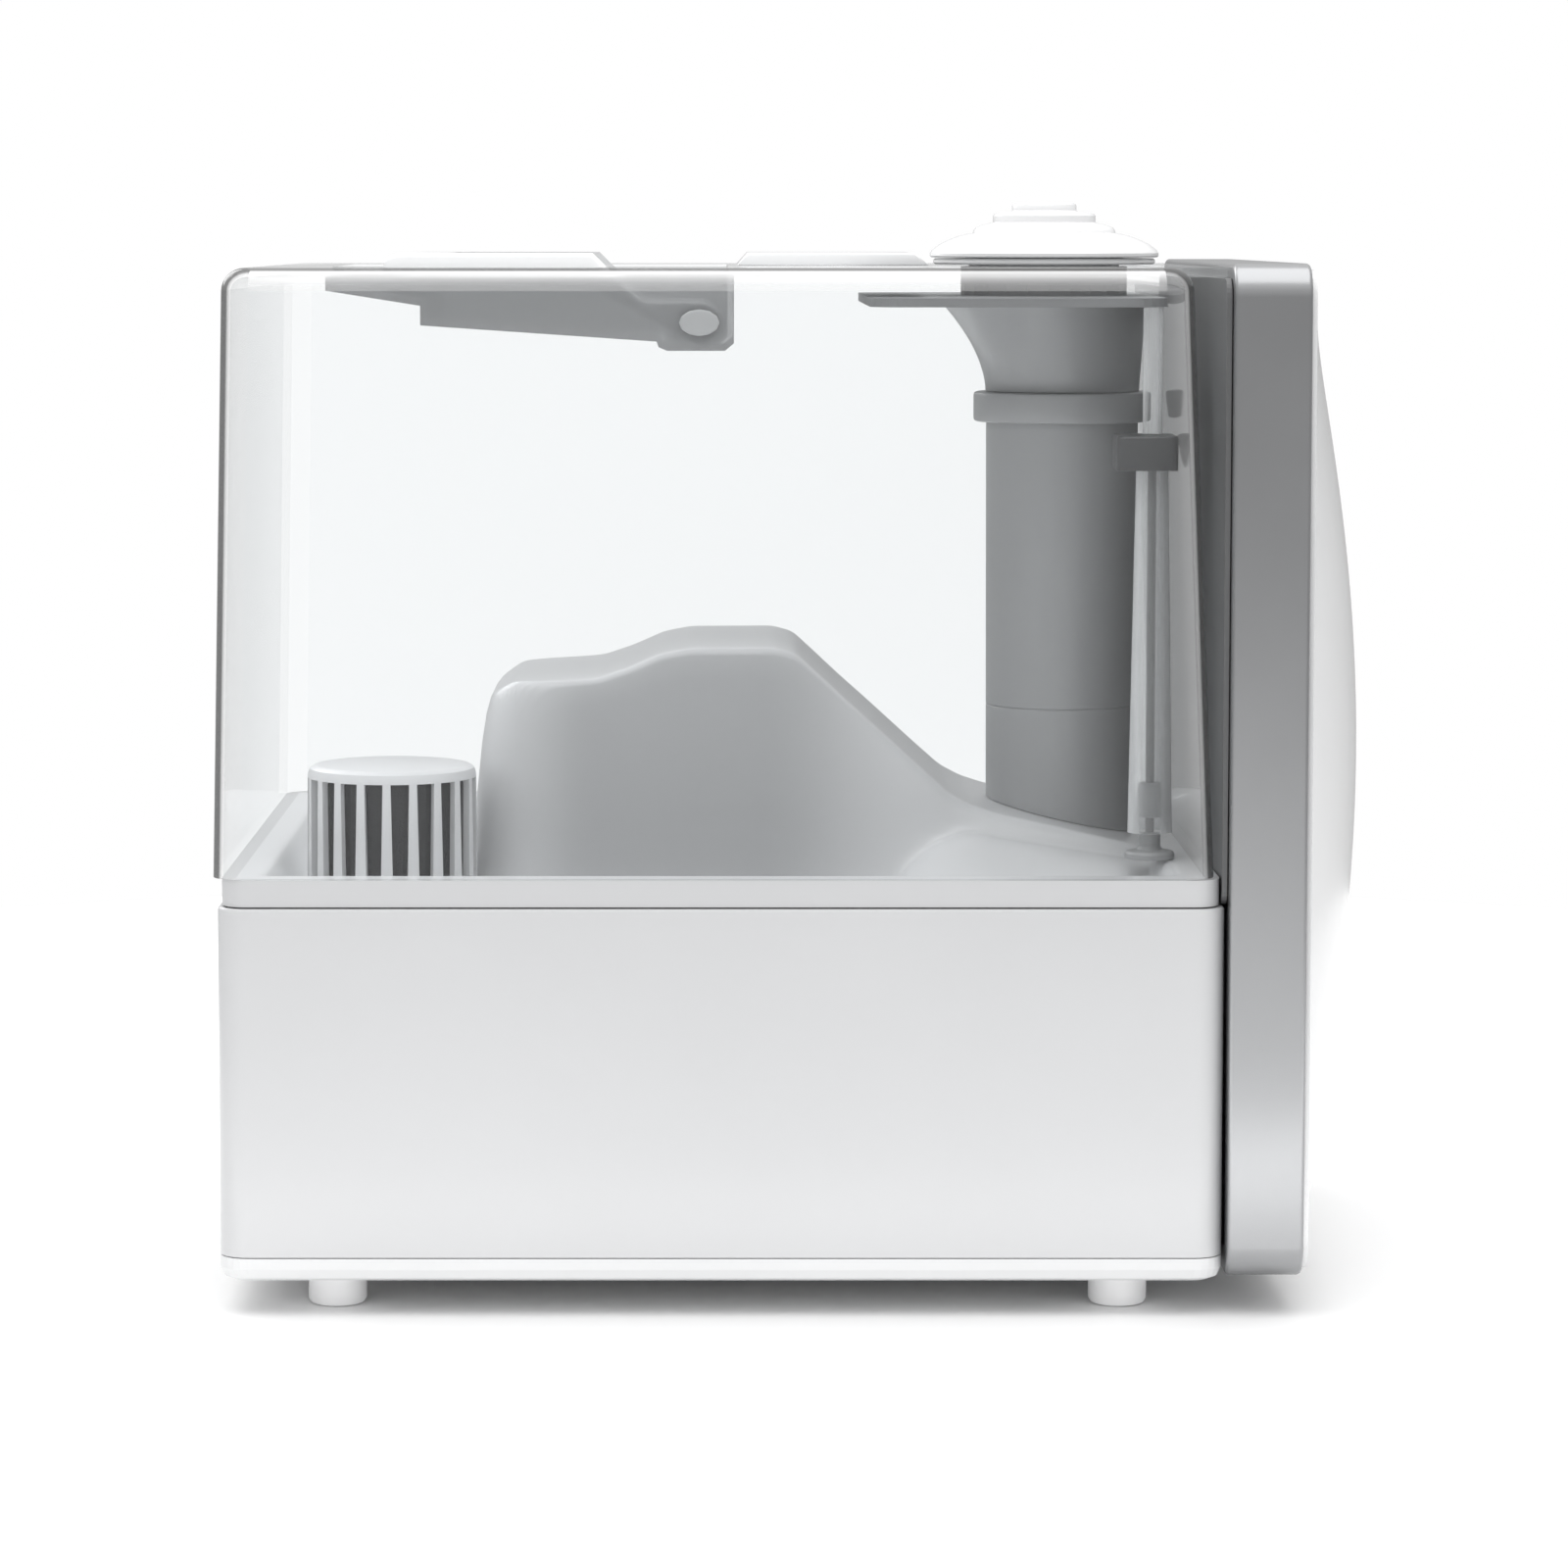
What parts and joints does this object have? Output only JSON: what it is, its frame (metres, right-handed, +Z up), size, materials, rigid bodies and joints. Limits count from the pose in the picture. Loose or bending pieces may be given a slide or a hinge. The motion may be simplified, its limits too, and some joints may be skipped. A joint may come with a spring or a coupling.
{
  "type": "cool mist humidifier",
  "caption": "Ultrasonic cool mist humidifier: white base on round feet, clear lift-off water tank with handle and turning nozzle, silver front frame with domed fascia.",
  "frame": {"origin": "middle of the bounding box at the surface the feet stand on", "axes": "+X towards the front fascia, +Z up, +Y towards the machine's left side seen from behind"},
  "size_m": [0.3183, 0.218, 0.3025],
  "materials": {
    "white_shell": "white moulded plastic, satin to gloss",
    "white_inner": "white moulded plastic, smooth",
    "white_soft": "white soft plastic",
    "silver_paint": "silver metallic paint on plastic",
    "clear_tank": "clear polycarbonate",
    "clear_tube": "clear acrylic tube",
    "frosted_grey": "frosted grey plastic",
    "smoked_well": "translucent smoked plastic",
    "grey_plastic": "grey moulded plastic",
    "dark_plastic": "dark moulded plastic",
    "cartridge_white": "white moulded cage",
    "resin": "packed dark resin beads",
    "button_plastic": "light grey button plastic",
    "display_glass": "smoked display window",
    "circuit_board": "green circuit board with parts",
    "rubber": "silicone rubber",
    "steel": "plain steel",
    "aluminium": "extruded aluminium"
  },
  "bodies": {
    "base": {"base_housing": "white_shell", "bottom_plate": "white_shell", "base_screw_1": "steel", "base_screw_2": "steel", "base_screw_3": "steel", "base_screw_4": "steel", "foot_1": "white_soft", "foot_2": "white_soft", "foot_3": "white_soft", "foot_4": "white_soft", "water_basin": "white_inner", "transducer_disc": "steel", "transducer_retainer": "grey_plastic", "float_post": "white_inner", "fan_housing": "dark_plastic", "fan_motor": "steel", "air_duct": "grey_plastic", "power_board": "circuit_board", "transformer": "dark_plastic", "driver_board": "circuit_board", "heat_sink": "aluminium", "power_inlet": "dark_plastic", "tower_panel": "grey_plastic", "front_frame": "silver_paint", "front_fascia": "white_shell", "display_window": "display_glass", "control_board": "circuit_board"},
    "float": {"level_float": "white_inner"},
    "fan": {"fan_impeller": "dark_plastic"},
    "power_button": {"button_power": "button_plastic"},
    "mist_button": {"button_mist": "button_plastic"},
    "timer_button": {"button_timer": "button_plastic"},
    "tank": {"tank_shell": "clear_tank", "tank_floor": "white_inner", "mist_dome": "white_inner", "mist_chimney": "frosted_grey", "chimney_collar": "frosted_grey", "chimney_funnel": "frosted_grey", "nozzle_socket": "frosted_grey", "gauge_foot": "grey_plastic", "gauge_tube": "clear_tube", "gauge_rod": "dark_plastic", "gauge_clamp": "dark_plastic", "gauge_stem": "clear_tube", "handle_well": "smoked_well", "handle_pin_left": "grey_plastic", "handle_pin_right": "grey_plastic", "top_plate": "white_shell"},
    "gauge": {"gauge_float": "grey_plastic"},
    "carry_handle": {"handle": "white_shell"},
    "nozzle_plug": {"nozzle_ring": "white_shell"},
    "nozzle": {"nozzle_dome": "white_shell"},
    "cap": {"tank_cap": "white_inner", "cap_seal": "rubber", "cartridge_cage": "cartridge_white", "cartridge_core": "resin"},
    "valve": {"valve_stem": "grey_plastic", "valve_washer": "rubber"}
  },
  "joints": [
    {"name": "tank_lift", "type": "slide", "parent": "base", "child": "tank", "axis": [0, 0, 1], "range_m": [0, 0.18]},
    {"name": "float_rise", "type": "slide", "parent": "base", "child": "float", "axis": [0, 0, 1], "range_m": [0, 0.012]},
    {"name": "fan_spin", "type": "hinge", "parent": "base", "child": "fan", "pos_m": [-0.0411, 0, 0.1], "axis": [0, 0, 1], "continuous": true},
    {"name": "power_press", "type": "slide", "parent": "base", "child": "power_button", "axis": [-1, 0, 0], "range_m": [0, 0.0012], "stiffness_N_per_m": 600, "springref_m": -0.0005},
    {"name": "mist_press", "type": "slide", "parent": "base", "child": "mist_button", "axis": [-1, 0, 0], "range_m": [0, 0.0012], "stiffness_N_per_m": 600, "springref_m": -0.0005},
    {"name": "timer_press", "type": "slide", "parent": "base", "child": "timer_button", "axis": [-1, 0, 0], "range_m": [0, 0.0012], "stiffness_N_per_m": 600, "springref_m": -0.0005},
    {"name": "gauge_rise", "type": "slide", "parent": "tank", "child": "gauge", "axis": [0, 0, 1], "range_m": [0, 0.086]},
    {"name": "handle_swing", "type": "hinge", "parent": "tank", "child": "carry_handle", "pos_m": [-0.0274, 0, 0.269], "axis": [0, 1, 0], "range_deg": [0, 90]},
    {"name": "nozzle_lift", "type": "slide", "parent": "tank", "child": "nozzle_plug", "axis": [0, 0, 1], "range_m": [0, 0.04]},
    {"name": "nozzle_turn", "type": "hinge", "parent": "nozzle_plug", "child": "nozzle", "pos_m": [0.072, 0, 0.29], "axis": [0, 0, 1], "continuous": true},
    {"name": "cap_turn", "type": "hinge", "parent": "tank", "child": "cap", "pos_m": [-0.114, -0.048, 0.1], "axis": [0, 0, 1], "range_deg": [0, 60]},
    {"name": "valve_open", "type": "slide", "parent": "cap", "child": "valve", "axis": [0, 0, 1], "range_m": [0, 0.004], "stiffness_N_per_m": 300, "springref_m": -0.002}
  ]
}
